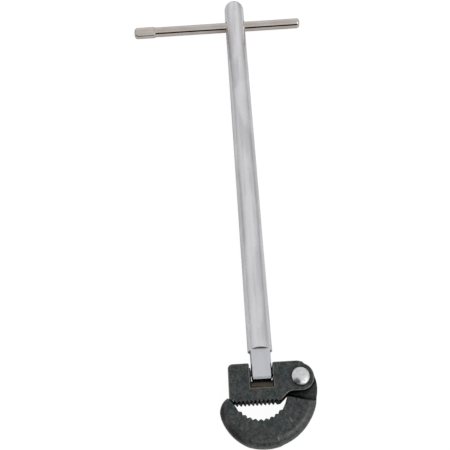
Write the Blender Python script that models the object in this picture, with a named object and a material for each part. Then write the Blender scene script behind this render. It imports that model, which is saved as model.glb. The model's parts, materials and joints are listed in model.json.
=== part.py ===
"""Basin wrench: a fixed-length rod with a sliding T-bar and a swivelling, self-closing hook jaw.

It lies on its back: the rod runs along Y with the T-bar at +Y, the jaws face +Z, and Z = 0 is the
surface under it. Everything is drawn around one datum, the centre of the rod at the shoulder where
the round rod meets its square tang, and the datum is then placed so that the origin is at the
bottom centre of the whole tool.
"""
import math

import bmesh
import bpy
from mathutils import Matrix, Vector

MM = 0.001
GAP = 0.3 * MM                      # clearance between neighbouring pieces

# Rod, from the shoulder (y = 0) up to the dome, and the tang below it
ROD_RADIUS = 6.35 * MM
ROD_LENGTH = 238.2 * MM
DOME_HEIGHT = 5.8 * MM
TANG_HALF_WIDTH = 5.15 * MM         # along X, between the flats that the jaws' slot fits
TANG_HALF_DEPTH = 4.4 * MM          # along Z
TANG_END = -15.1 * MM
TANG_CHAMFER = 0.7 * MM
TANG_CHAMFER_LENGTH = 1.1 * MM
SIDE_SHOULDER = -0.7 * MM           # the side flats are milled a little less far up
SHOULDER_SLOPE = 0.6 * MM           # how far the front and back shoulders lean up the rod

# Sliding T-bar through the rod
BAR_RADIUS = 3.175 * MM
BAR_Y = ROD_LENGTH - 20.25 * MM
BAR_LEFT = -67.0 * MM
BAR_RIGHT = 42.5 * MM
BAR_CHAMFER = 1.8 * MM
BAR_HOLE_MOUTH = 4.2 * MM           # countersunk to this radius at the rod's surface
PADDLE_LENGTH = 12.8 * MM           # pressed flat on the left end
PADDLE_TAPER = 2.2 * MM
PADDLE_HALF_WIDTH = 3.95 * MM
PADDLE_HALF_HEIGHT = 2.35 * MM

# Jaws
JAW_HALF = 6.35 * MM                # half the thickness of both jaws
SLOT_LEFT = -6.15 * MM              # the slot for the tang
SLOT_RIGHT = 5.5 * MM
SLOT_FLOOR = -19.8 * MM
SLOT_CORNER = 0.5 * MM
PIN_Y = -11.5 * MM
PIN_RADIUS = 1.6 * MM
PIN_RIGHT = 10.2 * MM
HEAD_LEFT = -16.85 * MM
HEAD_TOP = -7.5 * MM
HEAD_EDGE = 0.55 * MM               # bevel round the head's faces

PIVOT_X = 18.9 * MM
PIVOT_Y = -15.5 * MM
EAR_RADIUS = 6.75 * MM
RIVET_RADIUS = 2.5 * MM
RIVET_HEAD_RADIUS = 4.5 * MM
RIVET_HEAD_HEIGHT = 1.9 * MM
RIVET_TAIL_RADIUS = 4.0 * MM
TONGUE_HALF = 2.85 * MM
HUB_RADIUS = 6.9 * MM
CLEVIS_LEFT = 11.5 * MM

TOOTH_LINE = -26.4 * MM             # crests of the head's teeth
TOOTH_DEPTH = 1.1 * MM
TOOTH_PITCH = 2.03 * MM
TOOTH_FIRST = -13.2 * MM
TOOTH_COUNT = 11

HOOK_EDGE = 4.4 * MM                # rounding of the hook's outer edges
HOOK_TOOTH_CENTRE = (-1.9 * MM, -21.7 * MM)
HOOK_TOOTH_RADIUS = 13.15 * MM      # to the crests
HOOK_TOOTH_DEPTH = 0.85 * MM
HOOK_TOOTH_COUNT = 9
HOOK_TOOTH_START = -41.5            # degrees, first valley
HOOK_TOOTH_STEP = -11.0             # degrees, valley to valley
STEP_START = (12.5 * MM, -25.0 * MM)  # where the hook starts to thin down towards its tongue
STEP_ANGLE = math.radians(-14.5)
STEP_RAMP = 1.8 * MM

# Springs
LEAF_LEFT = -5.6 * MM
LEAF_RIGHT = 5.3 * MM
LEAF_THICKNESS = 0.6 * MM
LEAF_ARM_LEFT = -6.05 * MM          # the arm beside the tang, by which the pin holds the leaf
LEAF_ARM_RIGHT = -5.45 * MM
LEAF_ARM_RADIUS = 2.9 * MM
LEAF_HALF_SPAN = 5.2 * MM
COIL_WIRE = 0.3 * MM                # wire radius
COIL_RADIUS = 3.55 * MM
COIL_BOTTOM = 0.25 * MM
COIL_PITCH = 0.8 * MM
COIL_TURNS = 2.5
POCKET_RADIUS = 4.5 * MM
POCKET_FLOOR = -0.4 * MM

# Where the datum goes, so that the origin is the bottom centre of the tool
HOOK_BOTTOM = -48.0 * MM
DATUM = Vector((
    -(BAR_LEFT + BAR_RIGHT) / 2,
    -(HOOK_BOTTOM + ROD_LENGTH) / 2,
    ROD_RADIUS,
))


def clear_scene():
    for obj in list(bpy.data.objects):
        bpy.data.objects.remove(obj, do_unlink=True)


def material(name, colour, roughness, metallic=1.0):
    mat = bpy.data.materials.new(name)
    mat.use_nodes = True
    shader = mat.node_tree.nodes["Principled BSDF"]
    shader.inputs["Base Color"].default_value = (*colour, 1.0)
    shader.inputs["Roughness"].default_value = roughness
    shader.inputs["Metallic"].default_value = metallic
    return mat


def empty(name, place, parent=None):
    """An axis of the design. place is measured from the datum."""
    obj = bpy.data.objects.new(name, None)
    bpy.context.collection.objects.link(obj)
    obj["place"] = place
    if parent is None:
        obj.location = DATUM + Vector(place)
    else:
        obj.parent = parent
        obj.location = Vector(place) - Vector(parent["place"])
    return obj


def finish_mesh(name, bm, axis, mat):
    """Make an object of a mesh drawn from the datum, with its own origin on the axis it belongs to."""
    bmesh.ops.recalc_face_normals(bm, faces=bm.faces)
    if bm.calc_volume(signed=True) < 0:
        bmesh.ops.reverse_faces(bm, faces=bm.faces)
    bmesh.ops.translate(bm, verts=bm.verts, vec=-Vector(axis["place"]))
    mesh = bpy.data.meshes.new(name)
    bm.to_mesh(mesh)
    bm.free()
    mesh.shade_smooth()
    mesh.set_sharp_from_angle(angle=math.radians(35))
    obj = bpy.data.objects.new(name, mesh)
    bpy.context.collection.objects.link(obj)
    obj.parent = axis
    if mat is not None:
        obj.data.materials.append(mat)
    return obj


def as_tool(obj):
    """A helper solid that only cuts or joins."""
    obj.hide_render = True
    obj.display_type = "WIRE"
    return obj


def boolean(obj, tool, operation="DIFFERENCE"):
    mod = obj.modifiers.new(tool.name, "BOOLEAN")
    mod.operation = operation
    mod.solver = "EXACT"
    mod.object = as_tool(tool)


def arc(centre, radius, start, end, steps):
    """Points along an arc, angles in degrees, both ends included."""
    points = []
    for i in range(steps + 1):
        angle = math.radians(start + (end - start) * i / steps)
        points.append((centre[0] + radius * math.cos(angle), centre[1] + radius * math.sin(angle)))
    return points


def ring_loft(rings):
    """Join closed rings of equal length into one solid, with a cap on each end."""
    bm = bmesh.new()
    loops = [[bm.verts.new(point) for point in ring] for ring in rings]
    count = len(loops[0])
    for lower, upper in zip(loops, loops[1:]):
        for i in range(count):
            j = (i + 1) % count
            bm.faces.new((lower[i], lower[j], upper[j], upper[i]))
    bm.faces.new(reversed(loops[0]))
    bm.faces.new(loops[-1])
    return bm


def oval_section(along, half_width, half_height, squareness, count=24):
    """A ring across X: a circle at squareness 2, a rounded rectangle above it."""
    ring = []
    for i in range(count):
        angle = 2 * math.pi * i / count
        power = 2 / squareness
        y = half_width * math.copysign(abs(math.cos(angle)) ** power, math.cos(angle))
        z = half_height * math.copysign(abs(math.sin(angle)) ** power, math.sin(angle))
        ring.append((along, y, z))
    return ring


def turned(profile, count, to_world):
    """A solid of revolution. profile holds (along, radius) pairs and to_world places its axis."""
    rings = []
    for along, radius in profile:
        ring = []
        for i in range(count):
            angle = 2 * math.pi * i / count
            ring.append(to_world @ Vector((radius * math.cos(angle), radius * math.sin(angle), along)))
        rings.append(ring)
    return ring_loft(rings)


def along_x(centre):
    return Matrix.Translation(centre) @ Matrix.Rotation(math.radians(90), 4, "Y")


def along_y(centre):
    return Matrix.Translation(centre) @ Matrix.Rotation(math.radians(-90), 4, "X")


def along_z(centre):
    return Matrix.Translation(centre)


def slab(outline, low, high):
    """An outline in XY made solid between two heights."""
    bm = bmesh.new()
    face = bm.faces.new([bm.verts.new((x, y, low)) for x, y in outline])
    top = bmesh.ops.extrude_face_region(bm, geom=[face])
    raised = [item for item in top["geom"] if isinstance(item, bmesh.types.BMVert)]
    bmesh.ops.translate(bm, verts=raised, vec=(0, 0, high - low))
    return bm


def soften(bm, keep, width, segments):
    """Bevel the edges of the two flat faces where keep(x, y) is true at both ends."""
    edges = []
    for edge in bm.edges:
        a, b = (vert.co for vert in edge.verts)
        if abs(a.z - b.z) < 1e-7 and keep(a.x, a.y) and keep(b.x, b.y):
            edges.append(edge)
    bmesh.ops.bevel(
        bm, geom=edges, offset=width, segments=segments, profile=0.5, affect="EDGES",
        clamp_overlap=False,
    )


def box(low, high):
    outline = [(low[0], low[1]), (high[0], low[1]), (high[0], high[1]), (low[0], high[1])]
    return slab(outline, low[2], high[2])


def tang_section(inset):
    """The tang across Y: four milled flats, with the rod's own surface left between them."""
    half_width = TANG_HALF_WIDTH - inset
    half_depth = TANG_HALF_DEPTH - inset
    radius = ROD_RADIUS - inset
    start = math.degrees(math.asin(half_depth / radius))
    end = math.degrees(math.acos(half_width / radius))
    corner = arc((0, 0), radius, end, start, 2)
    quarter = corner + [(-x, z) for x, z in reversed(corner)]
    return quarter + [(-x, -z) for x, z in quarter]


def make_shaft(axis, mat):
    """Round rod with a domed top, a cross-hole for the T-bar and a square tang with a pin hole."""
    dome_base = ROD_LENGTH - DOME_HEIGHT
    profile = [(SIDE_SHOULDER, ROD_RADIUS), (dome_base, ROD_RADIUS)]
    for degrees in (18, 36, 54, 70, 82):
        angle = math.radians(degrees)
        height = DOME_HEIGHT * math.sin(angle) / math.sin(math.radians(82))
        profile.append((dome_base + height, ROD_RADIUS * math.cos(angle) ** 0.78))
    shaft = finish_mesh("shaft", turned(profile, 32, along_y((0, 0, 0))), axis, mat)

    rings = []
    for y, inset in ((TANG_END, TANG_CHAMFER), (TANG_END + TANG_CHAMFER_LENGTH, 0), (2 * MM, 0)):
        rings.append([(x, y, z) for x, z in tang_section(inset)])
    boolean(shaft, finish_mesh("tang_block", ring_loft(rings), axis, None), "UNION")
    reach = 10 * MM
    lean = SHOULDER_SLOPE * (reach - TANG_HALF_DEPTH) / (ROD_RADIUS - TANG_HALF_DEPTH)
    for name, side in (("front_flat", 1), ("back_flat", -1)):
        profile = [(SIDE_SHOULDER - 1 * MM, side * TANG_HALF_DEPTH), (0, side * TANG_HALF_DEPTH),
                   (lean, side * reach), (SIDE_SHOULDER - 1 * MM, side * reach)]
        rings = [[(x, y, z) for y, z in profile] for x in (-8 * MM, 8 * MM)]
        boolean(shaft, finish_mesh(name, ring_loft(rings), axis, None))

    bore = BAR_RADIUS + GAP
    depth = BAR_HOLE_MOUTH - bore
    reach = 2 * MM
    half_profile = [(ROD_RADIUS - depth, bore), (ROD_RADIUS + reach, bore + depth + reach)]
    bar_hole = [(-x, radius) for x, radius in reversed(half_profile)] + half_profile
    boolean(shaft, finish_mesh("bar_hole", turned(bar_hole, 24, along_x((0, BAR_Y, 0))), axis, None))
    pin_hole = turned([(-8 * MM, PIN_RADIUS + GAP), (8 * MM, PIN_RADIUS + GAP)], 16,
                      along_x((0, PIN_Y, 0)))
    boolean(shaft, finish_mesh("tang_pin_hole", pin_hole, axis, None))
    return shaft


def make_t_bar(axis, mat):
    """Plain rod with a chamfered right end and its left end pressed into a flat paddle."""
    taper_start = BAR_LEFT + PADDLE_LENGTH
    width, height = PADDLE_HALF_WIDTH, PADDLE_HALF_HEIGHT
    middle_width = 0.5 * (width + BAR_RADIUS)
    middle_height = 0.5 * (height + BAR_RADIUS)
    sections = [
        (BAR_LEFT, 0.5 * width, 0.55 * height, 3.0),
        (BAR_LEFT + 0.5 * MM, 0.78 * width, 0.8 * height, 3.0),
        (BAR_LEFT + 2.1 * MM, width, height, 3.0),
        (taper_start - 0.6 * MM, width, height, 3.0),
        (taper_start + 0.5 * PADDLE_TAPER, middle_width, middle_height, 2.6),
        (taper_start + PADDLE_TAPER, BAR_RADIUS, BAR_RADIUS, 2.0),
    ]
    for degrees in (0, 30, 60, 80):
        angle = math.radians(degrees)
        radius = BAR_RADIUS - BAR_CHAMFER * (1 - math.cos(angle))
        x = BAR_RIGHT - BAR_CHAMFER * (1 - math.sin(angle) / math.sin(math.radians(80)))
        sections.append((x, radius, radius, 2.0))
    rings = []
    for x, half_width, half_height, squareness in sections:
        ring = oval_section(x, half_width, half_height, squareness)
        rings.append([(px, py + BAR_Y, pz) for px, py, pz in ring])
    return finish_mesh("t_bar", ring_loft(rings), axis, mat)


def head_outline():
    """The fixed jaw seen from the front, counter-clockwise from its lower left corner."""
    points = [(HEAD_LEFT - 0.1 * MM, -24.0 * MM), (-14.6 * MM, TOOTH_LINE - 0.1 * MM)]
    for i in range(TOOTH_COUNT):
        crest = TOOTH_FIRST + i * TOOTH_PITCH
        points.append((crest - 0.6 * TOOTH_PITCH, TOOTH_LINE + TOOTH_DEPTH))
        points.append((crest - 0.12 * TOOTH_PITCH, TOOTH_LINE))
        points.append((crest + 0.12 * TOOTH_PITCH, TOOTH_LINE))
    points += [(8.6 * MM, -26.2 * MM), (12.0 * MM, -23.15 * MM), (13.2 * MM, -22.5 * MM),
               (14.8 * MM, -22.2 * MM)]
    points += arc((PIVOT_X, PIVOT_Y), EAR_RADIUS, -86, 68, 14)
    points += [(19.9 * MM, HEAD_TOP - 0.6 * MM), (17.6 * MM, HEAD_TOP)]
    points += [(SLOT_RIGHT + 0.8 * MM, HEAD_TOP), (SLOT_RIGHT, HEAD_TOP - 0.8 * MM)]
    points += arc((SLOT_RIGHT - SLOT_CORNER, SLOT_FLOOR + SLOT_CORNER), SLOT_CORNER, 0, -90, 3)
    points += arc((SLOT_LEFT + SLOT_CORNER, SLOT_FLOOR + SLOT_CORNER), SLOT_CORNER, -90, -180, 3)
    points += [(SLOT_LEFT, HEAD_TOP - 0.8 * MM), (SLOT_LEFT - 0.8 * MM, HEAD_TOP)]
    points += arc((HEAD_LEFT + 2.3 * MM, HEAD_TOP - 2.3 * MM), 2.3 * MM, 90, 180, 3)
    return points


def make_head_block(axis, mat):
    """Fixed jaw: slot for the tang, straight teeth, and two ears with the hook's tongue between."""
    bm = slab(head_outline(), -JAW_HALF, JAW_HALF)
    soften(bm, lambda x, y: y > TOOTH_LINE + 0.2 * MM and not tooth_zone(x, y), HEAD_EDGE, 1)
    head = finish_mesh("head_block", bm, axis, mat)

    clevis_half = TONGUE_HALF + GAP
    clevis = box((CLEVIS_LEFT, -40 * MM, -clevis_half), (40 * MM, 0, clevis_half))
    boolean(head, finish_mesh("clevis_slot", clevis, axis, None))

    bore = RIVET_RADIUS + GAP
    cone = RIVET_TAIL_RADIUS + GAP
    rivet_hole = turned([(-JAW_HALF - 1 * MM, cone + 1 * MM), (-JAW_HALF + cone - bore, bore),
                         (JAW_HALF + 1 * MM, bore)], 24, along_z((PIVOT_X, PIVOT_Y, 0)))
    boolean(head, finish_mesh("rivet_hole", rivet_hole, axis, None))

    leg_x, leg_y = coil_point(COIL_TURNS)[:2]
    leg_hole = turned([(TONGUE_HALF, COIL_WIRE + GAP), (JAW_HALF - 1.2 * MM, COIL_WIRE + GAP)], 12,
                      along_z((leg_x, leg_y, 0)))
    boolean(head, finish_mesh("spring_leg_hole", leg_hole, axis, None))

    pin_hole = turned([(HEAD_LEFT - 2 * MM, PIN_RADIUS + GAP), (PIN_RIGHT + GAP, PIN_RADIUS + GAP)], 16,
                      along_x((0, PIN_Y, 0)))
    boolean(head, finish_mesh("cheek_pin_hole", pin_hole, axis, None))
    return head


def tooth_zone(x, y):
    """True on the head's toothed stretch."""
    return y < TOOTH_LINE + 1.5 * TOOTH_DEPTH and -14.0 * MM < x < 8.2 * MM


def hook_outline():
    """The hook seen from the front, counter-clockwise from the flat that rests on the head."""
    points = [(-13.9 * MM, -28.4 * MM), (-17.05 * MM, -24.4 * MM)]
    points += arc((-15.05 * MM, -30.3 * MM), 6.8 * MM, 112, 192, 7)
    points += arc((0.6 * MM, -25.3 * MM), 23.3 * MM, 199, 248, 8)
    points += arc((-0.3 * MM, HOOK_BOTTOM + 25.8 * MM), 25.8 * MM, 254, 286, 6)
    points += arc((-0.55 * MM, -20.3 * MM), 27.45 * MM, 289, 343, 10)
    points += arc((10.25 * MM, -20.1 * MM), 16.7 * MM, -18, 18, 6)
    points += arc((PIVOT_X, PIVOT_Y), HUB_RADIUS, 20, 180, 16)
    points += [(PIVOT_X - HUB_RADIUS, -24.0 * MM), (11.3 * MM, -25.2 * MM), (10.5 * MM, -27.5 * MM)]
    for i in range(HOOK_TOOTH_COUNT + 1):
        valley = HOOK_TOOTH_START + i * HOOK_TOOTH_STEP
        points.append(around_teeth(valley, HOOK_TOOTH_DEPTH))
        if i < HOOK_TOOTH_COUNT:
            points.append(around_teeth(valley + 0.4 * HOOK_TOOTH_STEP, 0))
            points.append(around_teeth(valley + 0.6 * HOOK_TOOTH_STEP, 0))
    return points


def around_teeth(degrees, depth):
    """A point on the hook's toothed curve, depth below the crests."""
    angle = math.radians(degrees)
    radius = HOOK_TOOTH_RADIUS + depth
    return (HOOK_TOOTH_CENTRE[0] + radius * math.cos(angle),
            HOOK_TOOTH_CENTRE[1] + radius * math.sin(angle))


def on_outer_rim(x, y):
    """True along the hook's outer curve, from its nose to its tongue."""
    inner = math.hypot(x - HOOK_TOOTH_CENTRE[0], y - HOOK_TOOTH_CENTRE[1])
    at_tip = x < -18.2 * MM
    return at_tip or (inner > 18 * MM and (y < -28 * MM or x > 25.9 * MM))


def thinning_wedge(side):
    """What is milled off one face of the hook to leave its tongue. side is +1 or -1."""
    reach = 30 * MM
    profile = [(0, JAW_HALF + 1 * MM), (0, JAW_HALF), (STEP_RAMP, TONGUE_HALF), (reach, TONGUE_HALF),
               (reach, JAW_HALF + 1 * MM)]
    across = Vector((math.cos(STEP_ANGLE), math.sin(STEP_ANGLE), 0))
    up = Vector((-math.sin(STEP_ANGLE), math.cos(STEP_ANGLE), 0))
    start = Vector((*STEP_START, 0))
    rings = []
    for distance in (-12 * MM, 30 * MM):
        ring = []
        for u, z in profile:
            ring.append(start + across * distance + up * u + Vector((0, 0, side * z)))
        rings.append(ring)
    return ring_loft(rings)


def make_hook_jaw(axis, mat):
    """Curved jaw: rounded outside, toothed inside, thinned to a tongue that holds the spring."""
    bm = slab(hook_outline(), -JAW_HALF, JAW_HALF)
    soften(bm, on_outer_rim, HOOK_EDGE, 3)
    hook = finish_mesh("hook_jaw", bm, axis, mat)
    for name, side in (("front_thinning", 1), ("back_thinning", -1)):
        boolean(hook, finish_mesh(name, thinning_wedge(side), axis, None))

    centre = (PIVOT_X, PIVOT_Y, 0)
    bore = turned([(-8 * MM, RIVET_RADIUS + GAP), (8 * MM, RIVET_RADIUS + GAP)], 24, along_z(centre))
    boolean(hook, finish_mesh("hook_bore", bore, axis, None))
    pocket = turned([(POCKET_FLOOR, POCKET_RADIUS), (8 * MM, POCKET_RADIUS)], 24, along_z(centre))
    boolean(hook, finish_mesh("spring_pocket", pocket, axis, None))
    notch_half = COIL_WIRE + GAP
    notch = box((PIVOT_X + RIVET_RADIUS, PIVOT_Y - notch_half, POCKET_FLOOR + 0.1 * MM),
                (PIVOT_X + 6.0 * MM, PIVOT_Y + notch_half, 8 * MM))
    boolean(hook, finish_mesh("spring_notch", notch, axis, None))
    return hook


def coil_point(turn):
    """A point on the spring's coil, counted in turns from its lower end."""
    angle = 2 * math.pi * turn
    return (PIVOT_X + COIL_RADIUS * math.cos(angle), PIVOT_Y + COIL_RADIUS * math.sin(angle),
            COIL_BOTTOM + COIL_PITCH * turn)


def make_hook_spring(axis, mat):
    """Torsion spring: one leg out into the hook's notch, the other up into the front ear."""
    points = [(PIVOT_X + 5.5 * MM, PIVOT_Y, COIL_BOTTOM), (PIVOT_X + 4.6 * MM, PIVOT_Y, COIL_BOTTOM)]
    steps_per_turn = 16
    last = int(COIL_TURNS * steps_per_turn)
    points += [coil_point(i / steps_per_turn) for i in range(1, last)]
    x, y, z = coil_point(COIL_TURNS)
    points += [(x, y, z + 0.35 * MM), (x, y, JAW_HALF - 1.7 * MM)]

    curve = bpy.data.curves.new("hook_spring", "CURVE")
    curve.dimensions = "3D"
    curve.bevel_depth = COIL_WIRE
    curve.bevel_resolution = 1
    curve.use_fill_caps = True
    spline = curve.splines.new("POLY")
    spline.points.add(len(points) - 1)
    for slot, point in zip(spline.points, points):
        slot.co = (*(Vector(point) - Vector(axis["place"])), 1.0)
    spring = bpy.data.objects.new("hook_spring", curve)
    bpy.context.collection.objects.link(spring)
    spring.parent = axis
    curve.materials.append(mat)
    return spring


def make_hook_rivet(axis, mat):
    """Domed front head, plain shank, and a tail spread into the back ear's countersink."""
    front = JAW_HALF + 0.1 * MM
    tail = -JAW_HALF + 0.05 * MM
    profile = [(tail, RIVET_TAIL_RADIUS - 0.4 * MM),
               (tail + 0.3 * MM, RIVET_TAIL_RADIUS - 0.4 * MM),
               (tail + 0.3 * MM + RIVET_TAIL_RADIUS - 0.4 * MM - RIVET_RADIUS, RIVET_RADIUS),
               (front, RIVET_RADIUS),
               (front, RIVET_HEAD_RADIUS - 0.15 * MM),
               (front + 0.25 * MM, RIVET_HEAD_RADIUS),
               (front + 0.7 * MM, RIVET_HEAD_RADIUS)]
    dome = RIVET_HEAD_HEIGHT - 0.7 * MM
    for degrees in (25, 45, 63, 78):
        angle = math.radians(degrees)
        profile.append((front + 0.7 * MM + dome * math.sin(angle), RIVET_HEAD_RADIUS * math.cos(angle)))
    return finish_mesh("hook_rivet", turned(profile, 28, along_z((PIVOT_X, PIVOT_Y, 0))), axis, mat)


def make_head_pin(axis, mat):
    """Cross pin, pressed in from the left cheek, through the tang and into the right cheek."""
    left = HEAD_LEFT + 0.1 * MM
    chamfer = 0.35 * MM
    profile = [(left, PIN_RADIUS - chamfer), (left + chamfer, PIN_RADIUS),
               (PIN_RIGHT - chamfer, PIN_RADIUS), (PIN_RIGHT, PIN_RADIUS - chamfer)]
    return finish_mesh("head_pin", turned(profile, 16, along_x((0, PIN_Y, 0))), axis, mat)


def make_friction_spring(axis, mat):
    """Bowed strip that stands on the slot's floor and presses on the tang's end.

    An arm beside the tang goes up to the cross pin, which keeps the strip in the slot.
    """
    foot = SLOT_FLOOR + GAP + 0.05 * MM
    crown = TANG_END - GAP
    height = crown - foot
    radius = (LEAF_HALF_SPAN ** 2 + height ** 2) / (2 * height)
    centre = crown - radius
    spread = math.degrees(math.asin(min(1.0, LEAF_HALF_SPAN / radius)))
    outer = arc((0, centre), radius, 90 - spread, 90 + spread, 14)
    inner = arc((0, centre), radius - LEAF_THICKNESS, 90 + spread, 90 - spread, 14)
    rings = [[(x, y, z) for z, y in outer + inner] for x in (LEAF_LEFT, LEAF_RIGHT)]
    leaf = finish_mesh("friction_spring", ring_loft(rings), axis, mat)

    side = arc((0, PIN_Y), LEAF_ARM_RADIUS, 0, 180, 12)
    side += [(-LEAF_ARM_RADIUS, foot), (LEAF_ARM_RADIUS, foot)]
    rings = [[(x, y, z) for z, y in side] for x in (LEAF_ARM_LEFT, LEAF_ARM_RIGHT)]
    boolean(leaf, finish_mesh("leaf_arm", ring_loft(rings), axis, None), "UNION")
    hole = turned([(LEAF_ARM_LEFT - 1 * MM, PIN_RADIUS + GAP), (LEAF_ARM_RIGHT + 1 * MM, PIN_RADIUS + GAP)],
                  16, along_x((0, PIN_Y, 0)))
    boolean(leaf, finish_mesh("leaf_arm_hole", hole, axis, None))
    return leaf


def main():
    clear_scene()
    plated = material("zinc_plate", (0.55, 0.55, 0.56), 0.32)
    polished = material("nickel_plate", (0.60, 0.57, 0.54), 0.15)
    black = material("black_oxide", (0.045, 0.052, 0.052), 0.55, 0.6)
    bright = material("bright_rivet", (0.75, 0.76, 0.78), 0.22)
    spring_steel = material("spring_steel", (0.10, 0.09, 0.07), 0.45)
    pin_steel = material("pin_steel", (0.30, 0.30, 0.30), 0.35)

    rod_axis = empty("rod_axis", (0, 0, 0))
    bar_axis = empty("bar_axis", (0, BAR_Y, 0), rod_axis)
    swivel_axis = empty("swivel_axis", (0, PIN_Y, 0), rod_axis)
    hook_axis = empty("hook_axis", (PIVOT_X, PIVOT_Y, 0), swivel_axis)

    make_shaft(rod_axis, plated)
    make_t_bar(bar_axis, polished)
    make_head_block(swivel_axis, black)
    make_head_pin(swivel_axis, pin_steel)
    make_friction_spring(swivel_axis, spring_steel)
    make_hook_rivet(swivel_axis, bright)
    make_hook_spring(swivel_axis, spring_steel)
    make_hook_jaw(hook_axis, black.copy())


main()
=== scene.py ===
"""The looks of the basin wrench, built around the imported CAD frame.

Every piece is drawn from the same datum as the CAD: the centre of the rod at the shoulder where the
round rod meets its square tang. X runs towards the hook's rivet, Y up the rod and Z out of the front.
"""
import json
import math

import bmesh
import bpy
from mathutils import Matrix, Vector


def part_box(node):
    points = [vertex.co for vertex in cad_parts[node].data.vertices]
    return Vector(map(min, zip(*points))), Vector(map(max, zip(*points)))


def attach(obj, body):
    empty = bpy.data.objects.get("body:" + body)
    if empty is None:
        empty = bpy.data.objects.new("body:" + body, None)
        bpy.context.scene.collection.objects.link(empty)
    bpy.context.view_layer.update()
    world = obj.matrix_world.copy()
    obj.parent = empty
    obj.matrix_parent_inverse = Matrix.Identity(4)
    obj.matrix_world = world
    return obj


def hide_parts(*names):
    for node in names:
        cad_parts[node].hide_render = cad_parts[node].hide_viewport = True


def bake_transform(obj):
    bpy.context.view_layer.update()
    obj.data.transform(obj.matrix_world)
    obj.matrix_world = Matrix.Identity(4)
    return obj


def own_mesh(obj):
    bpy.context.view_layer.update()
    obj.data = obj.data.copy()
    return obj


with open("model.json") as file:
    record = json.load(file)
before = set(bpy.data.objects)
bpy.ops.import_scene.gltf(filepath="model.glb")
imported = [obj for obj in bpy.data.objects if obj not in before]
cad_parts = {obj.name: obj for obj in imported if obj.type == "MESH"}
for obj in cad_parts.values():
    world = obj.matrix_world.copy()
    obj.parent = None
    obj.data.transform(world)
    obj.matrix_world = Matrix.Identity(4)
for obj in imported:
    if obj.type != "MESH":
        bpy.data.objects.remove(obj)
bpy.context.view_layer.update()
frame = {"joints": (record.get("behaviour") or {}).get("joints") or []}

MM = 0.001
TO_MM = 1000                        # the materials measure in millimetres

# The datum and the main sizes come from the frame
SHAFT_LOW, SHAFT_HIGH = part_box("shaft")
BAR_LOW, BAR_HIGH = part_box("t_bar")
HEAD_LOW, HEAD_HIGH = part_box("head_block")
LEAF_LOW, LEAF_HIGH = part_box("friction_spring")
RIVET_LOW, RIVET_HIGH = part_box("hook_rivet")
PIN_LOW, PIN_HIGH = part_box("head_pin")
JOINTS = {joint["name"]: joint for joint in frame["joints"]}
PIN = Vector(JOINTS["head_swivel"]["pos_m"])
HINGE = Vector(JOINTS["hook_swing"]["pos_m"])

# Shaft
TANG_LENGTH = 15.1 * MM
DATUM = Vector((PIN.x, SHAFT_LOW.y + TANG_LENGTH, PIN.z))
ROD_RADIUS = (SHAFT_HIGH.x - SHAFT_LOW.x) / 2
ROD_TOP = SHAFT_HIGH.y - DATUM.y
DOME_HEIGHT = 5.8 * MM
TANG_HALF_WIDTH = 5.15 * MM
TANG_HALF_DEPTH = 4.4 * MM
TANG_END = -TANG_LENGTH
TANG_CHAMFER = 0.7 * MM
TANG_CHAMFER_LENGTH = 1.1 * MM
SIDE_SHOULDER = -0.7 * MM
SHOULDER_SLOPE = 0.6 * MM
SHOULDER_EDGE = 0.15 * MM

# T-bar
BAR_RADIUS = 3.175 * MM
BAR_Y = (BAR_LOW.y + BAR_HIGH.y) / 2 - DATUM.y
BAR_LEFT = BAR_LOW.x - DATUM.x
BAR_RIGHT = BAR_HIGH.x - DATUM.x
BAR_CHAMFER = 1.8 * MM
PADDLE_LENGTH = 12.8 * MM
PADDLE_HALF_WIDTH = (BAR_HIGH.y - BAR_LOW.y) / 2
PADDLE_HALF_HEIGHT = 2.35 * MM
HOLE_RADIUS = 3.475 * MM
HOLE_MOUTH = 4.2 * MM

# Jaws
GAP = 0.3 * MM
JAW_HALF = (HEAD_HIGH.z - HEAD_LOW.z) / 2
HEAD_LEFT = HEAD_LOW.x - DATUM.x + 0.1 * MM
HEAD_TOP = HEAD_HIGH.y - DATUM.y
HEAD_EDGE = 0.55 * MM
SLOT_LEFT = -6.15 * MM
SLOT_RIGHT = 5.5 * MM
SLOT_FLOOR = -19.8 * MM
SLOT_CORNER = 0.5 * MM
PIVOT = (HINGE.x - DATUM.x, HINGE.y - DATUM.y)
EAR_RADIUS = 6.75 * MM
CLEVIS_LEFT = 11.5 * MM
TOOTH_LINE = -26.4 * MM
TOOTH_DEPTH = 1.1 * MM
TOOTH_PITCH = 2.03 * MM
TOOTH_FIRST = -13.2 * MM
TOOTH_COUNT = 11
TOOTH_EDGE = 0.08 * MM
TOOTHED_FROM = -14.0 * MM
TOOTHED_TO = 8.2 * MM

HUB_RADIUS = 6.9 * MM
TONGUE_HALF = 2.85 * MM
HOOK_EDGE = 4.4 * MM
HOOK_TIP = (-17.05 * MM, -24.4 * MM)
HOOK_BOTTOM = -48.0 * MM
HOOK_TOOTH_CENTRE = (-1.9 * MM, -21.7 * MM)
HOOK_TOOTH_RADIUS = 13.15 * MM
HOOK_TOOTH_DEPTH = 0.85 * MM
HOOK_TOOTH_COUNT = 9
HOOK_TOOTH_START = -41.5
HOOK_TOOTH_STEP = -11.0
STEP_START = (12.5 * MM, -25.0 * MM)
STEP_ANGLE = math.radians(-14.5)
STEP_RAMP = 1.8 * MM

# Round patches of painted shade on the hook's rim, around these points
HOOK_SHADE = [(-30.0 * MM, -55.9 * MM, 0.5 * JAW_HALF), (-41.7 * MM, -30.5 * MM, 0.5 * JAW_HALF)]
SHADE_REACH_MM = 24.0
SHADE_CORE_MM = 21.0

# Nicks in the hook's face: x, y, degrees from +Y, and half their length in millimetres
HOOK_NICKS = [(12.3 * MM, -36.0 * MM, 28, 2.0), (5.6 * MM, -44.2 * MM, 4, 1.6)]
NICK_HALF_WIDTH_MM = 0.35

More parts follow.
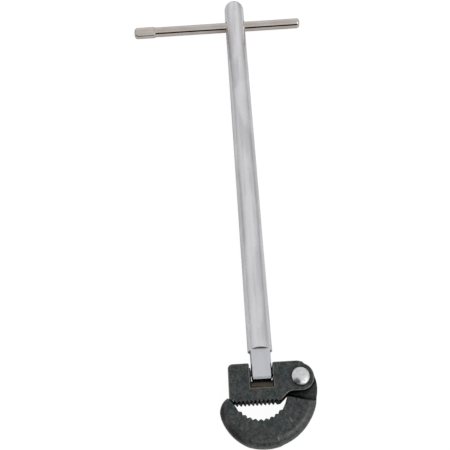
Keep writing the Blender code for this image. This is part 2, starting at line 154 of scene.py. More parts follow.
# Pin, rivet and springs
PIN_Y = PIN.y - DATUM.y
PIN_RADIUS = 1.6 * MM
RIVET_RADIUS = 2.5 * MM
RIVET_HEAD_RADIUS = (RIVET_HIGH.x - RIVET_LOW.x) / 2
RIVET_TAIL_RADIUS = 3.6 * MM
LEAF_LEFT = -5.6 * MM
LEAF_THICKNESS = 0.6 * MM
LEAF_ARM_RIGHT = -5.45 * MM
LEAF_ARM_RADIUS = 2.9 * MM
COIL_WIRE = 0.3 * MM
COIL_RADIUS = 3.55 * MM
COIL_BOTTOM = 0.25 * MM
COIL_PITCH = 0.8 * MM
COIL_TURNS = 2.5
POCKET_RADIUS = 4.5 * MM
POCKET_FLOOR = -0.4 * MM


# ---------------------------------------------------------------- mesh tools

def arc(centre, radius, start, end, steps):
    """Points along an arc, angles in degrees, both ends included."""
    points = []
    for i in range(steps + 1):
        angle = math.radians(start + (end - start) * i / steps)
        points.append((centre[0] + radius * math.cos(angle), centre[1] + radius * math.sin(angle)))
    return points


def ring_loft(rings, wear=None):
    """Join closed rings of equal length into one solid, with a cap on each end.

    wear holds a number for each ring, kept as an attribute of the sides' corners.
    """
    bm = bmesh.new()
    layer = None if wear is None else bm.loops.layers.float.new("wear")
    lines = [[bm.verts.new(point) for point in ring] for ring in rings]
    count = len(lines[0])
    for k in range(len(lines) - 1):
        lower, upper = lines[k], lines[k + 1]
        for i in range(count):
            j = (i + 1) % count
            face = bm.faces.new((lower[i], lower[j], upper[j], upper[i]))
            if layer is not None:
                for corner, level in zip(face.loops, (wear[k], wear[k], wear[k + 1], wear[k + 1])):
                    corner[layer] = level
    bm.faces.new(reversed(lines[0]))
    bm.faces.new(lines[-1])
    return bm


def turned(profile, count, place):
    """A solid of revolution. profile holds (along, radius) pairs and place puts its axis where it goes."""
    rings = []
    for along, radius in profile:
        ring = []
        for i in range(count):
            angle = 2 * math.pi * i / count
            ring.append(place @ Vector((radius * math.cos(angle), radius * math.sin(angle), along)))
        rings.append(ring)
    return ring_loft(rings)


def along_x(centre):
    return Matrix.Translation(centre) @ Matrix.Rotation(math.radians(90), 4, "Y")


def along_y(centre):
    return Matrix.Translation(centre) @ Matrix.Rotation(math.radians(-90), 4, "X")


def along_z(centre):
    return Matrix.Translation(centre)


def inward(outline):
    """For each corner of a counter-clockwise outline, the step that moves both its edges in by one."""
    steps = []
    for i, point in enumerate(outline):
        here = Vector(point)
        before = here - Vector(outline[i - 1])
        after = Vector(outline[(i + 1) % len(outline)]) - here
        first = Vector((-before.y, before.x)).normalized()
        second = Vector((-after.y, after.x)).normalized()
        middle = (first + second).normalized()
        steps.append(middle / max(middle.dot(first), 0.4))
    return steps


def rounded_slab(outline, half, rounding, steps):
    """An outline made solid between -half and half, with its edges rounded by rounding(x, y).

    Its wear attribute is 1 along the middle of each rounded edge and 0 on the flats.
    """
    inset = inward(outline)
    widths = [rounding(x, y) for x, y in outline]
    rings = []
    wear = []
    for side in (-1, 1):
        for k in range(steps + 1):
            turn = k if side > 0 else steps - k
            angle = math.radians(90 * turn / steps)
            ring = []
            for (x, y), step, width in zip(outline, inset, widths):
                shift = width * (1 - math.cos(angle))
                z = side * (half - width * (1 - math.sin(angle)))
                ring.append((x + step.x * shift, y + step.y * shift, z))
            rings.append(ring)
            wear.append(math.sin(2 * angle))
    return ring_loft(rings, wear)


def slab(outline, low, high):
    return ring_loft([[(x, y, z) for x, y in outline] for z in (low, high)])


def box(low, high):
    outline = [(low[0], low[1]), (high[0], low[1]), (high[0], high[1]), (low[0], high[1])]
    return slab(outline, low[2], high[2])


def piece(name, bm):
    """Make an object in the row frame of a mesh drawn from the datum."""
    bmesh.ops.recalc_face_normals(bm, faces=bm.faces)
    if bm.calc_volume(signed=True) < 0:
        bmesh.ops.reverse_faces(bm, faces=bm.faces)
    bmesh.ops.translate(bm, verts=bm.verts, vec=DATUM)
    mesh = bpy.data.meshes.new(name)
    bm.to_mesh(mesh)
    bm.free()
    obj = bpy.data.objects.new(name, mesh)
    bpy.context.scene.collection.objects.link(obj)
    return obj


def cut(obj, *tools, operation="DIFFERENCE"):
    """Cut tools out of obj, or join them to it, for good."""
    for tool in tools:
        mod = obj.modifiers.new(tool.name, "BOOLEAN")
        mod.operation = operation
        mod.solver = "EXACT"
        mod.object = tool
    bpy.context.view_layer.update()
    evaluated = obj.evaluated_get(bpy.context.evaluated_depsgraph_get())
    mesh = bpy.data.meshes.new_from_object(evaluated)
    obj.modifiers.clear()
    obj.data = mesh
    for tool in tools:
        bpy.data.objects.remove(tool, do_unlink=True)
    return obj


def shade(obj):
    """Smooth over edges shallower than 30 degrees, with the big flat faces kept flat."""
    obj.data.shade_smooth()
    obj.data.set_sharp_from_angle(angle=math.radians(30))
    mod = obj.modifiers.new("flat_faces", "WEIGHTED_NORMAL")
    mod.keep_sharp = True
    mod.weight = 100
    return obj


def finished(obj, node, body, mat):
    """Give obj its material and put it in a CAD node's place. A blended piece has no body."""
    obj.data.materials.clear()
    obj.data.materials.append(mat)
    if body is not None:
        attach(obj, body)
    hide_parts(node)
    return obj


# ---------------------------------------------------------------- shaft and T-bar

def tang_section(inset):
    """The tang across Y: four milled flats, with the rod's own surface left between them."""
    half_width = TANG_HALF_WIDTH - inset
    half_depth = TANG_HALF_DEPTH - inset
    radius = ROD_RADIUS - inset
    start = math.degrees(math.asin(half_depth / radius))
    end = math.degrees(math.acos(half_width / radius))
    corner = arc((0, 0), radius, end, start, 6)
    quarter = corner + [(-x, z) for x, z in reversed(corner)]
    return quarter + [(-x, -z) for x, z in quarter]


def make_shaft(mat):
    """Round rod with a domed top, a countersunk cross-hole and a square tang."""
    dome_base = ROD_TOP - DOME_HEIGHT
    profile = [(SIDE_SHOULDER, 0.3 * ROD_RADIUS), (SIDE_SHOULDER, ROD_RADIUS - SHOULDER_EDGE),
               (SIDE_SHOULDER + SHOULDER_EDGE, ROD_RADIUS)]
    # rings along the rod, which keep its faces short
    for y in (30, 60, 90, 120, 150, 180, 205, 212, 224):
        profile.append((y * MM, ROD_RADIUS))
    # the dome is a little fuller than half an ellipse, which a power below 1 gives
    steepest = math.radians(89)
    for i in range(22):
        angle = steepest * i / 21
        height = DOME_HEIGHT * math.sin(angle) / math.sin(steepest)
        profile.append((dome_base + height, ROD_RADIUS * math.cos(angle) ** 0.78))
    shaft = piece("rod_shaft", turned(profile, 96, along_y((0, 0, 0))))

    rings = []
    for y, inset in ((TANG_END, TANG_CHAMFER), (TANG_END + TANG_CHAMFER_LENGTH, 0), (2 * MM, 0)):
        rings.append([(x, y, z) for x, z in tang_section(inset)])
    cut(shaft, piece("tang", ring_loft(rings)), operation="UNION")
    reach = 10 * MM
    across = 8 * MM
    lean = SHOULDER_SLOPE * (reach - TANG_HALF_DEPTH) / (ROD_RADIUS - TANG_HALF_DEPTH)
    below = SIDE_SHOULDER - 1 * MM
    flats = []
    for name, side in (("front_flat", 1), ("back_flat", -1)):
        outline = [(below, side * TANG_HALF_DEPTH), (0, side * TANG_HALF_DEPTH),
                   (lean, side * reach), (below, side * reach)]
        rings = [[(x, y, z) for y, z in outline] for x in (-across, across)]
        flats.append(piece(name, ring_loft(rings)))
    cut(shaft, *flats)

    past = 0.4 * MM
    countersink = HOLE_MOUTH - HOLE_RADIUS
    hole = [(-ROD_RADIUS - past, HOLE_MOUTH + past), (countersink - ROD_RADIUS, HOLE_RADIUS),
            (ROD_RADIUS - countersink, HOLE_RADIUS), (ROD_RADIUS + past, HOLE_MOUTH + past)]
    pin_hole = [(-across, PIN_RADIUS + GAP), (across, PIN_RADIUS + GAP)]
    cut(shaft,
        piece("bar_hole", turned(hole, 64, along_x((0, BAR_Y, 0)))),
        piece("tang_pin_hole", turned(pin_hole, 32, along_x((0, PIN_Y, 0)))))
    return finished(shade(shaft), "shaft", "rod", mat)


def oval_section(along, half_width, half_height, squareness, count=64):
    """A ring across X: an ellipse at squareness 2, a rounded rectangle above it."""
    ring = []
    for i in range(count):
        angle = 2 * math.pi * i / count
        power = 2 / squareness
        y = half_width * math.copysign(abs(math.cos(angle)) ** power, math.cos(angle))
        z = half_height * math.copysign(abs(math.sin(angle)) ** power, math.sin(angle))
        ring.append((along, y + BAR_Y, z))
    return ring


def make_t_bar(mat):
    """Round bar with a rounded right end and its left end pressed into a flat paddle."""
    width, height, squareness = PADDLE_HALF_WIDTH, PADDLE_HALF_HEIGHT, 2.9
    corner = 2.1 * MM
    rings = []
    for i in range(9):
        angle = math.radians(90 * i / 8)
        shrink = corner * (1 - math.sin(angle))
        rings.append(oval_section(BAR_LEFT + corner * (1 - math.cos(angle)),
                                  width - shrink, height - 0.5 * shrink, squareness))
    taper_start = BAR_LEFT + PADDLE_LENGTH - 0.5 * MM
    taper = 2.2 * MM
    for i in range(13):
        share = i / 12
        turn = share * share * (3 - 2 * share)
        rings.append(oval_section(taper_start + taper * share,
                                  width + (BAR_RADIUS - width) * turn,
                                  height + (BAR_RADIUS - height) * turn,
                                  squareness + (2 - squareness) * turn))
    for x in (-30, 0, 20):
        rings.append(oval_section(x * MM, BAR_RADIUS, BAR_RADIUS, 2))
    steepest = math.radians(80)
    for i in range(8):
        angle = steepest * i / 7
        radius = BAR_RADIUS - BAR_CHAMFER * (1 - math.cos(angle))
        x = BAR_RIGHT - BAR_CHAMFER * (1 - math.sin(angle) / math.sin(steepest))
        rings.append(oval_section(x, radius, radius, 2))
    bar = piece("sliding_t_bar", ring_loft(rings))
    return finished(shade(bar), "t_bar", "handle_bar", mat)


# ---------------------------------------------------------------- jaws

def head_outline():
    """The fixed jaw seen from the front, counter-clockwise from its lower left corner."""
    lip = 0.8 * MM
    corner = 2.3 * MM
    points = [(HEAD_LEFT - 0.1 * MM, -24.0 * MM), (-14.6 * MM, TOOTH_LINE - 0.1 * MM)]
    for i in range(TOOTH_COUNT):
        crest = TOOTH_FIRST + i * TOOTH_PITCH
        points.append((crest - 0.6 * TOOTH_PITCH, TOOTH_LINE + TOOTH_DEPTH))
        points.append((crest - 0.12 * TOOTH_PITCH, TOOTH_LINE))
        points.append((crest + 0.12 * TOOTH_PITCH, TOOTH_LINE))
    points += [(8.6 * MM, -26.2 * MM), (12.0 * MM, -23.15 * MM), (12.55 * MM, -22.75 * MM),
               (13.2 * MM, -22.5 * MM), (14.0 * MM, -22.32 * MM), (14.8 * MM, -22.25 * MM)]
    points += arc(PIVOT, EAR_RADIUS, -88, 68, 52)
    points += [(20.7 * MM, HEAD_TOP - 0.85 * MM), (19.9 * MM, HEAD_TOP - 0.5 * MM),
               (18.9 * MM, HEAD_TOP - 0.18 * MM), (17.6 * MM, HEAD_TOP)]
    points += arc((SLOT_RIGHT + lip, HEAD_TOP - lip), lip, 90, 180, 5)
    points += arc((SLOT_RIGHT - SLOT_CORNER, SLOT_FLOOR + SLOT_CORNER), SLOT_CORNER, 0, -90, 8)
    points += arc((SLOT_LEFT + SLOT_CORNER, SLOT_FLOOR + SLOT_CORNER), SLOT_CORNER, -90, -180, 8)
    points += arc((SLOT_LEFT - lip, HEAD_TOP - lip), lip, 0, 90, 5)
    points += arc((HEAD_LEFT + corner, HEAD_TOP - corner), corner, 90, 180, 8)
    return points


def tooth_zone(x, y):
    """True on the head's toothed stretch."""
    return y < TOOTH_LINE + 1.5 * TOOTH_DEPTH and TOOTHED_FROM < x < TOOTHED_TO


def make_head_block(mat):
    """Fixed jaw: slot for the tang, straight teeth, and two ears with the hook's tongue between."""
    def rounding(x, y):
        return TOOTH_EDGE if tooth_zone(x, y) else HEAD_EDGE

    head = piece("fixed_jaw_head", rounded_slab(head_outline(), JAW_HALF, rounding, 4))
    clevis_half = TONGUE_HALF + GAP
    clevis = box((CLEVIS_LEFT, -40 * MM, -clevis_half), (40 * MM, 0, clevis_half))
    bore = RIVET_RADIUS + GAP
    cone = RIVET_TAIL_RADIUS + 0.4 * MM + GAP
    past = 1 * MM
    rivet_hole = [(-JAW_HALF - past, cone + past), (-JAW_HALF + cone - bore, bore),
                  (JAW_HALF + past, bore)]
    leg_x, leg_y = coil_point(COIL_TURNS)[:2]
    leg_hole = [(TONGUE_HALF, COIL_WIRE + GAP), (JAW_HALF - 1.2 * MM, COIL_WIRE + GAP)]
    tight = PIN_RADIUS + 0.05 * MM
    pin_hole = [(HEAD_LEFT - 2 * MM, tight), (PIN_HIGH.x - DATUM.x + 0.1 * MM, tight)]
    cut(head,
        piece("clevis_slot", clevis),
        piece("rivet_hole", turned(rivet_hole, 48, along_z((*PIVOT, 0)))),
        piece("leg_hole", turned(leg_hole, 12, along_z((leg_x, leg_y, 0)))),
        piece("cheek_hole", turned(pin_hole, 40, along_x((0, PIN_Y, 0)))))
    return finished(shade(head), "head_block", "head", mat)


def hook_outline():
    """The hook seen from the front, counter-clockwise from the flat that rests on the head."""
    points = [(-13.9 * MM, -28.4 * MM), HOOK_TIP]
    points += arc((-15.05 * MM, -30.3 * MM), 6.8 * MM, 112, 192, 20)
    points += arc((0.6 * MM, -25.3 * MM), 23.3 * MM, 199, 248, 26)
    points += arc((-0.3 * MM, HOOK_BOTTOM + 25.8 * MM), 25.8 * MM, 254, 286, 18)
    points += arc((-0.55 * MM, -20.3 * MM), 27.45 * MM, 289, 343, 34)
    points += arc((10.25 * MM, -20.1 * MM), 16.7 * MM, -18, 18, 16)
    points += arc(PIVOT, HUB_RADIUS, 20, 180, 52)
    points += [(PIVOT[0] - HUB_RADIUS, -24.0 * MM), (11.3 * MM, -25.2 * MM), (10.5 * MM, -27.5 * MM)]
    for i in range(HOOK_TOOTH_COUNT + 1):
        valley = HOOK_TOOTH_START + i * HOOK_TOOTH_STEP
        points.append(around_teeth(valley, HOOK_TOOTH_DEPTH))
        if i < HOOK_TOOTH_COUNT:
            points.append(around_teeth(valley + 0.4 * HOOK_TOOTH_STEP, 0))
            points.append(around_teeth(valley + 0.6 * HOOK_TOOTH_STEP, 0))
    return points


def around_teeth(degrees, depth):
    """A point on the hook's toothed curve, depth below the crests."""
    angle = math.radians(degrees)
    radius = HOOK_TOOTH_RADIUS + depth
    return (HOOK_TOOTH_CENTRE[0] + radius * math.cos(angle),
            HOOK_TOOTH_CENTRE[1] + radius * math.sin(angle))


def hook_rounding(x, y):
    """How far the hook's edge is rounded: wide round the outside, hardly at all at the teeth."""
    from_teeth = math.hypot(x - HOOK_TOOTH_CENTRE[0], y - HOOK_TOOTH_CENTRE[1])
    from_tip = math.hypot(x - HOOK_TIP[0], y - HOOK_TIP[1])
    at_tip = x < -16.9 * MM
    outside = from_teeth > 18 * MM and (y < -28 * MM or x > 25.9 * MM)
    return min(HOOK_EDGE, 0.5 * MM + 0.7 * from_tip) if at_tip or outside else TOOTH_EDGE


def thinning_wedge(side):
    """What is milled off one face of the hook to leave its tongue. side is +1 or -1."""
    reach = 30 * MM
    above = JAW_HALF + 1 * MM
    profile = [(0, above), (0, JAW_HALF), (STEP_RAMP, TONGUE_HALF), (reach, TONGUE_HALF),
               (reach, above)]
    across = Vector((math.cos(STEP_ANGLE), math.sin(STEP_ANGLE), 0))
    up = Vector((-math.sin(STEP_ANGLE), math.cos(STEP_ANGLE), 0))
    start = Vector((*STEP_START, 0))
    rings = []
    for distance in (-12 * MM, 30 * MM):
        ring = []
        for u, z in profile:
            ring.append(start + across * distance + up * u + Vector((0, 0, side * z)))
        rings.append(ring)
    return ring_loft(rings)


def make_hook_jaw(mat):
    """Curved jaw: rounded outside, toothed inside, thinned to a tongue that holds the spring."""
    hook = piece("swinging_hook_jaw", rounded_slab(hook_outline(), JAW_HALF, hook_rounding, 8))
    reach = 8 * MM
    bore = [(-reach, RIVET_RADIUS + GAP), (reach, RIVET_RADIUS + GAP)]
    pocket = [(POCKET_FLOOR, POCKET_RADIUS), (reach, POCKET_RADIUS)]
    notch_half = COIL_WIRE + GAP
    notch = box((PIVOT[0] + RIVET_RADIUS, PIVOT[1] - notch_half, POCKET_FLOOR + 0.1 * MM),
                (PIVOT[0] + 6.0 * MM, PIVOT[1] + notch_half, reach))
    cut(hook,
        piece("front_thinning", thinning_wedge(1)),
        piece("back_thinning", thinning_wedge(-1)),
        piece("hook_bore", turned(bore, 48, along_z((*PIVOT, 0)))),
        piece("spring_pocket", turned(pocket, 48, along_z((*PIVOT, 0)))),
        piece("spring_notch", notch))
    return finished(shade(hook), "hook_jaw", "hook", mat)


# ---------------------------------------------------------------- rivet, pin and springs

def make_rivet(mat):
    """Domed front head, plain shank, and a tail spread into the back ear's countersink."""
    front = JAW_HALF + 0.1 * MM
    tail = -JAW_HALF + 0.05 * MM
    rim = 0.45 * MM
    profile = [(tail + 0.15 * MM, 0.6 * RIVET_TAIL_RADIUS), (tail, RIVET_TAIL_RADIUS - 0.15 * MM),
               (tail + 0.1 * MM, RIVET_TAIL_RADIUS), (tail + 0.3 * MM, RIVET_TAIL_RADIUS),
               (tail + 0.3 * MM + RIVET_TAIL_RADIUS - RIVET_RADIUS, RIVET_RADIUS),
               (front, RIVET_RADIUS),
               (front, RIVET_HEAD_RADIUS - 0.25 * MM),
               (front + 0.1 * MM, RIVET_HEAD_RADIUS - 0.05 * MM)]
    dome = RIVET_HIGH.z - DATUM.z - front - rim
    for i in range(15):
        angle = math.radians(88 * i / 14)
        height = dome * math.sin(angle)
        profile.append((front + rim + height, RIVET_HEAD_RADIUS * math.cos(angle) ** 0.8))
    rivet = piece("hinge_rivet", turned(profile, 72, along_z((*PIVOT, 0))))
    return finished(shade(rivet), "hook_rivet", "head", mat)


def make_pin(mat):
    """Cross pin, pressed in through the left cheek and the tang."""
    left = PIN_LOW.x - DATUM.x
    right = PIN_HIGH.x - DATUM.x
    chamfer = 0.35 * MM
    profile = [(left, PIN_RADIUS - chamfer), (left + 0.3 * chamfer, PIN_RADIUS - 0.4 * chamfer),
               (left + chamfer, PIN_RADIUS), (right - chamfer, PIN_RADIUS),
               (right, PIN_RADIUS - chamfer)]
    pin = piece("cross_pin", turned(profile, 40, along_x((0, PIN_Y, 0))))
    return finished(shade(pin), "head_pin", "head", mat)


def make_leaf(mat):
    """Bowed strip that stands on the slot's floor and presses on the tang's end."""
    foot = LEAF_LOW.y - DATUM.y
    crown = TANG_END - GAP
    half_span = (LEAF_HIGH.z - LEAF_LOW.z) / 2
    height = crown - foot
    radius = (half_span ** 2 + height ** 2) / (2 * height)
    centre = (0, crown - radius)
    spread = math.degrees(math.asin(min(1.0, half_span / radius)))
    outer = arc(centre, radius, 90 - spread, 90 + spread, 40)
    inner = arc(centre, radius - LEAF_THICKNESS, 90 + spread, 90 - spread, 40)
    section = inner[::-1] + outer[::-1]
    low_x = LEAF_LEFT
    high_x = LEAF_HIGH.x - DATUM.x
    edge = 0.12 * MM
    inset = inward(section)
    rings = []
    for x, shrink in ((low_x, edge), (low_x + edge, 0), (high_x - edge, 0), (high_x, edge)):
        rings.append([(x, y + step.y * shrink, z + step.x * shrink)
                      for (z, y), step in zip(section, inset)])
    leaf = piece("friction_leaf_spring", ring_loft(rings))
    finished(shade(leaf), "friction_spring", "head", mat)
    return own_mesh(leaf)


def make_leaf_arm(mat):
    """The leaf spring's arm: it stands beside the tang, and the cross pin goes through it."""
    foot = LEAF_LOW.y - DATUM.y
    low_x = LEAF_LOW.x - DATUM.x
    side = arc((0, PIN_Y), LEAF_ARM_RADIUS, 0, 180, 40)
    side += [(-LEAF_ARM_RADIUS, foot), (LEAF_ARM_RADIUS, foot)]
    edge = 0.08 * MM
    inset = inward(side)
    rings = []
    for x, shrink in ((low_x, edge), (low_x + edge, 0), (LEAF_ARM_RIGHT - edge, 0),
                      (LEAF_ARM_RIGHT, edge)):
        rings.append([(x, y + step.y * shrink, z + step.x * shrink)
                      for (z, y), step in zip(side, inset)])
    bore = PIN_RADIUS + 0.1 * MM
    hole = [(low_x - 1 * MM, bore), (LEAF_ARM_RIGHT + 1 * MM, bore)]
    arm = cut(piece("leaf_spring_arm", ring_loft(rings)),
              piece("arm_hole", turned(hole, 40, along_x((0, PIN_Y, 0)))))
    return finished(shade(arm), "friction_spring", "head", mat)


def coil_point(turn):
    """A point on the spring's coil, counted in turns from its lower end."""
    angle = 2 * math.pi * turn
    return (PIVOT[0] + COIL_RADIUS * math.cos(angle), PIVOT[1] + COIL_RADIUS * math.sin(angle),
            COIL_BOTTOM + COIL_PITCH * turn)


def tube(points, radius, count):
    """A round wire along a line of points."""
    rings = []
    side = Vector((0, 1, 0))
    for i, point in enumerate(points):
        here = Vector(point)
        before = Vector(points[max(i - 1, 0)])
        after = Vector(points[min(i + 1, len(points) - 1)])
        ahead = (after - before).normalized()
        side = (side - ahead * side.dot(ahead)).normalized()
        up = ahead.cross(side)
        ring = []
        for k in range(count):
            angle = 2 * math.pi * k / count
            ring.append(here + radius * (side * math.cos(angle) + up * math.sin(angle)))
        rings.append(ring)
    return ring_loft(rings)


def make_coil(mat):
    """Torsion spring: one leg out into the hook's notch, the other up into the front ear."""
    points = [(PIVOT[0] + 5.5 * MM, PIVOT[1], COIL_BOTTOM), (PIVOT[0] + 4.6 * MM, PIVOT[1], COIL_BOTTOM),
              (PIVOT[0] + 3.9 * MM, PIVOT[1] + 0.1 * MM, COIL_BOTTOM)]
    per_turn = 32
    points += [coil_point(i / per_turn) for i in range(2, int(COIL_TURNS * per_turn))]
    x, y, z = coil_point(COIL_TURNS)
    points += [(x, y, z + 0.1 * MM), (x, y, z + 0.5 * MM), (x, y, JAW_HALF - 1.7 * MM)]
    coil = piece("hook_return_spring", tube(points, COIL_WIRE, 12))
    finished(shade(coil), "hook_spring", None, mat)
    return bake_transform(coil)


# ---------------------------------------------------------------- materials

class Nodes:
    """A short way to write a node tree."""

    def __init__(self, tree):
        self.tree = tree

    def add(self, kind, inputs=None, **settings):
        node = self.tree.nodes.new(kind)
        for key, value in settings.items():
            setattr(node, key, value)
        for key, value in (inputs or {}).items():
            self.set(node.inputs[key], value)
        return node

    def set(self, socket, value):
        if isinstance(value, bpy.types.NodeSocket):
            self.tree.links.new(value, socket)
        else:
            socket.default_value = value

    def math(self, operation, *values):
        return self.add("ShaderNodeMath", dict(enumerate(values)), operation=operation).outputs[0]

    def map(self, value, low, high, to_low=0.0, to_high=1.0, smooth=True):
        """value moved from low...high to to_low...to_high, and held at the ends."""
        kind = "SMOOTHSTEP" if smooth else "LINEAR"
        inputs = {"Value": value, "From Min": low, "From Max": high, "To Min": to_low, "To Max": to_high}
        return self.add("ShaderNodeMapRange", inputs, interpolation_type=kind).outputs["Result"]

    def mix(self, share, first, second):
        """The first colour at share 0, the second at 1."""
        node = self.add("ShaderNodeMix", data_type="RGBA")
        self.set(node.inputs[0], share)
        self.set(node.inputs[6], first)
        self.set(node.inputs[7], second)
        return node.outputs[2]

    def place(self, scale=(1, 1, 1)):
        """The point on the piece, in millimetres times scale."""
        source = self.add("ShaderNodeTexCoord").outputs["Object"]
        scaled = tuple(TO_MM * share for share in scale)
        inputs = {"Vector": source, "Scale": scaled}
        return self.add("ShaderNodeMapping", inputs).outputs["Vector"]

    def place_parts(self):
        """X, Y and Z of the point on the piece, in millimetres."""
        return self.add("ShaderNodeSeparateXYZ", {0: self.place()}).outputs

    def distance_from_axis(self, x, z, axis):
        """How far the point is from an axis along Y, in millimetres."""
        across = self.math("SUBTRACT", x, TO_MM * axis.x)
        up = self.math("SUBTRACT", z, TO_MM * axis.z)
        square = self.math("ADD", self.math("MULTIPLY", across, across), self.math("MULTIPLY", up, up))
        return self.math("SQRT", square)

    def noise(self, size_mm, detail=3.0, roughness=0.55, scale=(1, 1, 1)):
        """Noise whose blotches are about size_mm across, from 0 to 1 with its middle at a half."""
        inputs = {"Vector": self.place(scale), "Scale": 1 / size_mm, "Detail": detail,
                  "Roughness": roughness}
        return self.add("ShaderNodeTexNoise", inputs).outputs["Fac"]

    def slanted_noise(self, size_mm, stretch, degrees):
        """Noise whose blotches are stretch times as long as wide, turned by degrees about Z."""
        source = self.add("ShaderNodeTexCoord").outputs["Object"]
        inputs = {"Vector": source, "Rotation": (0, 0, math.radians(degrees)),
                  "Scale": (MM, stretch * MM, MM)}
        slanted = self.add("ShaderNodeMapping", inputs, vector_type="TEXTURE").outputs["Vector"]
        inputs = {"Vector": slanted, "Scale": 1 / size_mm, "Detail": 1.0, "Roughness": 0.3}
        return self.add("ShaderNodeTexNoise", inputs).outputs["Fac"]

    def nick(self, centre, degrees, half_length_mm, half_width_mm):
        """1 along a short straight nick, whose length lies degrees from +Y, and 0 beyond its ends."""
        source = self.add("ShaderNodeTexCoord").outputs["Object"]
        depth = 5 * MM
        inputs = {"Vector": source, "Location": centre, "Rotation": (0, 0, math.radians(degrees)),
                  "Scale": (half_width_mm * MM, half_length_mm * MM, depth)}
        local = self.add("ShaderNodeMapping", inputs, vector_type="TEXTURE").outputs["Vector"]
        distance = self.add("ShaderNodeVectorMath", {0: local}, operation="LENGTH").outputs["Value"]
        return self.map(distance, 0.4, 1.0, 1.0, 0.0)

    def near(self, point, reach_mm, core_mm):
        """1 within core_mm of a point, fading to 0 at reach_mm."""
        inputs = {0: self.place(), 1: tuple(TO_MM * share for share in point)}
        distance = self.add("ShaderNodeVectorMath", inputs, operation="DISTANCE").outputs["Value"]
        return self.map(distance, core_mm, reach_mm, 1.0, 0.0)

    def wear(self):
        """The wear attribute: 1 along the middle of a rounded edge, 0 on the flats."""
        return self.add("ShaderNodeAttribute", attribute_name="wear").outputs["Fac"]

    def crevice(self, reach_mm, low, high):
        """1 deep in a crevice and 0 in the open."""
        found = self.add("ShaderNodeAmbientOcclusion", {"Distance": reach_mm * MM}, samples=6)
        return self.map(found.outputs["AO"], low, high, 1.0, 0.0)

    def bump(self, height, strength, distance_mm, normal=None):
        inputs = {"Height": height, "Strength": strength, "Distance": distance_mm * MM}
        if normal is not None:
            inputs["Normal"] = normal
        return self.add("ShaderNodeBump", inputs).outputs["Normal"]


def new_material(name):
    mat = bpy.data.materials.new(name)
    mat.use_nodes = True
    nodes = Nodes(mat.node_tree)
    return mat, nodes, mat.node_tree.nodes["Principled BSDF"]


def grey(level, tint=(1, 1, 1)):
    return (level * tint[0], level * tint[1], level * tint[2], 1.0)


def zinc_material():
    """Satin zinc on drawn steel: fine lines along the rod, soft clouding and small dull marks.

    Below the shoulder it is milled, with fewer streaks and a cooler tint. The shoulder's faces, the tang's
    left side and the crevices carry painted shade.
    """
    mat, nodes, shader = new_material("zinc_plate")
    clouds = nodes.noise(7, 2, 0.45, scale=(1, 0.35, 1))
    streaks = nodes.map(nodes.noise(2.2, 2, 0.4, scale=(1, 0.04, 1)), 0.38, 0.62)
    lines = nodes.noise(0.5, 2, 0.5, scale=(1, 0.015, 1))
    marks = nodes.map(nodes.noise(1.6, 2, 0.5), 0.64, 0.78)
    base = nodes.mix(nodes.map(clouds, 0.38, 0.62), grey(0.73, (1.0, 0.98, 1.01)),
                     grey(0.88, (1.0, 0.985, 1.01)))
    x, y, z = nodes.place_parts()
    shoulder_y = TO_MM * DATUM.y
    milled = nodes.map(y, shoulder_y - 0.9, shoulder_y - 0.5, 1.0, 0.0)
    drawn = nodes.math("SUBTRACT", 0.6, nodes.math("MULTIPLY", milled, 0.5))
    base = nodes.mix(nodes.math("MULTIPLY", streaks, drawn), base, grey(0.98, (1.0, 0.985, 1.0)))
    base = nodes.mix(nodes.math("MULTIPLY", milled, 0.6), base, grey(0.79, (0.95, 0.99, 1.07)))
    base = nodes.mix(nodes.math("MULTIPLY", lines, 0.1), base, grey(0.65))
    base = nodes.mix(nodes.math("MULTIPLY", marks, 0.25), base, grey(0.5))
    # painted shade: the shoulder's sloped faces and the tang's left side get a darker grey base colour
    inside = nodes.map(nodes.distance_from_axis(x, z, DATUM), 5.9, 6.2, 1.0, 0.0)
    above = nodes.map(y, shoulder_y, shoulder_y + 0.05)
    below = nodes.map(y, shoulder_y + 1.0, shoulder_y + 1.1, 1.0, 0.0)
    shoulder = nodes.math("MULTIPLY", inside, nodes.math("MULTIPLY", above, below))
    base = nodes.mix(shoulder, base, grey(0.15))
    tang_left = TO_MM * (DATUM.x - TANG_HALF_WIDTH)
    # painted shade on the tang's left side, next to the cheek
    left = nodes.map(x, tang_left + 0.25, tang_left + 0.75, 1.0, 0.0)
    base = nodes.mix(nodes.math("MULTIPLY", left, milled), base, grey(0.33))
    # painted shade: a darker base colour in crevices and concave corners
    crevice_shade = nodes.math("MULTIPLY", nodes.crevice(1.6, 0.4, 0.92), 0.85)
    base = nodes.mix(crevice_shade, base, grey(0.15, (1.1, 1, 0.9)))
    nodes.set(shader.inputs["Base Color"], base)
    shader.inputs["Metallic"].default_value = 1.0
    rough = nodes.math("ADD", nodes.map(clouds, 0.3, 0.7, 0.19, 0.27), nodes.math("MULTIPLY", lines, 0.05))
    nodes.set(shader.inputs["Roughness"], rough)
    grain = nodes.bump(lines, 0.08, 0.02)
    waves = nodes.noise(1.5, 1, 0.4, scale=(1, 0.2, 1))
    nodes.set(shader.inputs["Normal"], nodes.bump(waves, 0.06, 0.03, grain))
    return mat


def nickel_material():
    """Polished nickel with a faint yellow cast, light smears and hairline scratches."""
    mat, nodes, shader = new_material("nickel_plate")
    smears = nodes.noise(5, 4, 0.6, scale=(0.4, 1, 1))
    base = nodes.mix(nodes.map(smears, 0.35, 0.65), (0.64, 0.575, 0.535, 1), (0.71, 0.655, 0.605, 1))
    nodes.set(shader.inputs["Base Color"], base)
    shader.inputs["Metallic"].default_value = 1.0
    nodes.set(shader.inputs["Roughness"], nodes.map(smears, 0.35, 0.7, 0.07, 0.13))
    scratches = nodes.noise(0.2, 2, 0.5, scale=(0.03, 1, 1))
    nodes.set(shader.inputs["Normal"], nodes.bump(scratches, 0.06, 0.01))
    return mat


